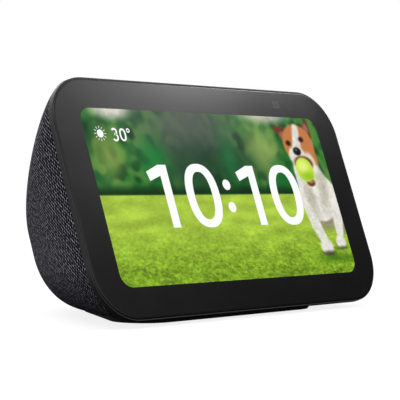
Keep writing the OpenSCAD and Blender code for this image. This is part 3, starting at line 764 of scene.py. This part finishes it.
def make_button_marks():
    """Minus, plus and a struck-out microphone, raised a hair above their buttons."""
    arm = 1.0 * MM
    level = bar((-arm, 0), (arm, 0), 0.36 * MM)
    upright = bar((0, -arm), (0, arm), 0.36 * MM)
    capsule = bar((0, -0.1 * MM), (0, 0.6 * MM), 0.8 * MM)
    cup = stroke(arc((0, -0.1 * MM), 0.8 * MM, 180, 360), 0.24 * MM)
    stem = bar((0, -1.0 * MM), (0, -1.3 * MM), 0.26 * MM)
    strike = bar((-1.1 * MM, 1.1 * MM), (1.1 * MM, -1.1 * MM), 0.26 * MM)
    marks = {"volume_down": [level], "volume_up": [level, upright],
             "mic_off": [capsule, cup, stem, strike]}
    for body, outlines in marks.items():
        at = place_on(body + "_button", STRIP_OUT)
        for i, outline in enumerate(outlines):
            mark = flat_piece(f"{body}_mark_{i}", [outline], 0.08 * MM, "charcoal_plastic", at, body)
            mark.data.materials[0] = MARK_PAINT


# ---------- Fabric ----------

FABRIC_T = 1.0 * MM
BODY_DEPTH = 82.4 * MM
BODY_TOP, BODY_BOTTOM, APEX_Z = 81.0 * MM, 2.5 * MM, 21.0 * MM
ANGLES = np.radians(np.arange(0, 360, 360 / 320))


def body_section(s, inset):
    """Points round the body, parallel to the face. s is 0 behind the face and 1 at the rear."""
    half = (72.6 * MM - inset) * (1 - s ** 1.2) ** (1 / 2.1)
    roof = APEX_Z + (BODY_TOP - inset - APEX_Z) * (1 - s ** 1.1) ** (1 / 1.4)
    floor = APEX_Z - (APEX_Z - BODY_BOTTOM - inset) * math.sqrt(1 - s ** 8)
    middle = APEX_Z + ((BODY_TOP + BODY_BOTTOM) / 2 - APEX_Z) * (1 - s)
    c, sn = np.round(np.cos(ANGLES), 9), np.round(np.sin(ANGLES), 9)
    upper = sn >= 0
    height = np.where(upper, roof - middle, middle - floor)
    growth = np.where(upper, s ** 1.3, -0.15 * s ** 2)
    r = 17 * MM - inset

    def corner(size):
        return np.minimum(size, np.where(size > r, r + (size - r) * growth, size))

    rx, rz = corner(half), corner(height)
    x = np.sign(c) * (half - rx) + rx * c
    z = middle + np.sign(sn) * (height - rz) + rz * sn
    face_y, face_z = -31.6 * MM, 41.9 * MM
    start = 2.3 * MM / math.cos(FACE_LEAN)
    y = face_y + (z - face_z) * math.tan(FACE_LEAN) + start + s * (BODY_DEPTH - 1.5 * inset)
    return np.column_stack([x, y, z])


def knit_places(loops, front):
    """Where each point lies on the knit: up from the middle of the side, and back from the rim."""
    back = np.zeros(loops.shape[:2])
    for k in range(1, len(loops)):
        back[k] = back[k - 1] + np.linalg.norm(loops[k] - loops[k - 1], axis=1)
    back = abs(back - back[front])
    up = np.zeros(loops.shape[:2])
    quarter = len(ANGLES) // 4
    for middle in (0, 2 * quarter):
        for way in (1, -1):
            for i in range(1, quarter + 1):
                here, last = (middle + way * i) % len(ANGLES), (middle + way * (i - 1)) % len(ANGLES)
                step = np.linalg.norm(loops[:, here] - loops[:, last], axis=1)
                rising = 1 if (way == 1) == (middle == 0) else -1
                up[:, here] = up[:, last] + rising * step
    return np.stack([up, back], axis=-1)


def make_fabric():
    """Knitted cover, stretched over the shell, with openings for the strip, the foot and the port."""
    outer = [(min(math.sin(math.pi / 2 * i / 100), 0.9995), 0.0) for i in range(100, 0, -1)]
    rim = [(0.0073, 0.0), (0.0022, 0.13 * MM), (0.0, 0.45 * MM), (0.0, FABRIC_T)]
    inner = [(min(math.sin(math.pi / 2 * i / 30), 0.9995), FABRIC_T) for i in range(1, 31)]
    rings = [ring for ring in outer if ring[0] > 0.02] + rim + inner
    loops = np.array([body_section(s, inset) for s, inset in rings])
    count, size = loops.shape[:2]
    caps = [tuple(range(size))[::-1], tuple(range((count - 1) * size, count * size))]
    fabric = new_piece("knit_cover", loops.reshape(-1, 3), strips(count, size) + caps, "knit_fabric")
    places = knit_places(loops, rings.index(rim[0])).reshape(-1, 2)
    knit_map = fabric.data.uv_layers.new(name="knit")
    for loop in fabric.data.loops:
        knit_map.data[loop.index].uv = places[loop.vertex_index]
    merge_doubles(fabric.data)
    port = place_on("port_ring", Vector((0, 1, 0)), -RIGHT)
    cut(fabric, [
        prism(stadium(82.4 * MM, 8.4 * MM, 0.3 * MM), -6 * MM, 6 * MM, STRIP),
        prism(foot_outline(1.3 * MM), -1 * MM, 8 * MM),
        prism(oval((0, 0), 5.8 * MM), -15 * MM, 15 * MM, port),
    ])
    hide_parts("fabric_cover")


def stadium(length, width, grow):
    """Outline of the top strip, grown outwards."""
    end = (length - width) / 2
    return bar((-end, 0), (end, 0), width + 2 * grow, 24)


def foot_outline(grow):
    """Outline of the foot, grown outwards: narrower behind, with the same radius at each corner."""
    front, rear, r = (34.6, -25), (15.3, 8), 12 + grow / MM
    lean = math.degrees(math.atan2(front[0] - rear[0], rear[1] - front[1]))
    right = arc(front, r, -90, lean) + arc(rear, r, lean, 90)
    return scaled(right + [(-x, y) for x, y in right[::-1]], MM)


# ---------- Stage, light and camera ----------

def make_stage():
    """Round white floor. Only the camera sees its brightness, so it throws little light up."""
    points = [(4 * math.cos(a), 4 * math.sin(a), 0) for a in np.linspace(0, 2 * math.pi, 65)[:-1]]
    mesh = bpy.data.meshes.new("floor")
    mesh.from_pydata(points, [], [tuple(range(64))])
    t = Tree("paper_floor")
    seen = t.add("LightPath", {}, output="Is Camera Ray")
    paper = t.mix(t.noise(3 * MM, 3.0), (0.26, 0.26, 0.26, 1), (0.28, 0.28, 0.28, 1))
    mesh.materials.append(t.surface(
        base_color=t.mix(seen, (0.03, 0.03, 0.03, 1), paper), roughness=0.9, specular_ior_level=0.0,
        emission_color=(1, 1, 1, 1), emission_strength=t.math("MULTIPLY", seen, 0.84)))
    floor = bpy.data.objects.new("floor", mesh)
    bpy.context.scene.collection.objects.link(floor)


def make_world():
    """White surroundings, with a dark patch where the right of the face would mirror them."""
    t = Tree("studio", "Background", "worlds")
    way = t.add("TexCoord", {}, output="Generated")
    nearness = t.add("VectorMath", {0: way, 1: direction(66, 12)}, output="Value",
                     operation="DOT_PRODUCT")
    mirrored = t.fade(nearness, math.cos(math.radians(40)), math.cos(math.radians(10)), 0.7, 0.035)
    glossy = t.add("LightPath", {}, output="Is Glossy Ray")
    seen = t.add("LightPath", {}, output="Is Camera Ray")
    indirect = t.add("Mix", {0: glossy, 2: 0.72, 3: mirrored})
    level = t.add("Mix", {0: seen, 2: indirect, 3: 1.0})
    bpy.context.scene.world = t.surface(color=(1, 1, 1, 1), strength=level)


def direction(azimuth, elevation):
    """Unit vector. Azimuth runs from the front round to the right, in degrees."""
    a, e = math.radians(azimuth), math.radians(elevation)
    return Vector((math.sin(a) * math.cos(e), -math.cos(a) * math.cos(e), math.sin(e)))


def add_softbox(name, azimuth, elevation, distance, width, height, power):
    """Light that looks at the middle of the face."""
    lamp = bpy.data.lights.new(name, "AREA")
    lamp.shape = "RECTANGLE"
    lamp.size, lamp.size_y = width, height
    lamp.energy = power
    box = bpy.data.objects.new(name, lamp)
    box.location = FACE.translation + direction(azimuth, elevation) * distance
    box.rotation_euler = direction(azimuth, elevation).to_track_quat("Z", "Y").to_euler()
    bpy.context.scene.collection.objects.link(box)


def make_lights():
    """A small lamp that the face mirrors, and two wide ones beside and behind."""
    add_softbox("face_highlight", 63, 33, 1.5, 0.15, 0.09, 1.95)
    add_softbox("left", -80, 50, 1.6, 1.0, 1.0, 5.5)
    add_softbox("back", 160, 40, 1.6, 1.2, 1.2, 6)


def make_camera():
    """Long lens to the left of the face, and level with it."""
    distance, aside, below = 0.5303, 0.00965, 0.001665
    back = direction(-47.331, 0.639)
    right = (-back).cross(Vector((0, 0, 1))).normalized()
    up = right.cross(-back)
    data = bpy.data.cameras.new("camera")
    data.sensor_width = 36
    data.lens = 136.3
    camera = bpy.data.objects.new("camera", data)
    turn = Matrix((right, up, back)).transposed().to_4x4()
    place = FACE.translation + back * distance - right * aside - up * below
    camera.matrix_world = Matrix.Translation(place) @ turn
    bpy.context.scene.collection.objects.link(camera)
    bpy.context.scene.camera = camera


dress_cad_nodes()
make_window()
make_border()
make_clock()
make_button_marks()
make_fabric()
make_stage()
make_world()
make_lights()
make_camera()
bpy.context.scene.view_settings.view_transform = "Standard"
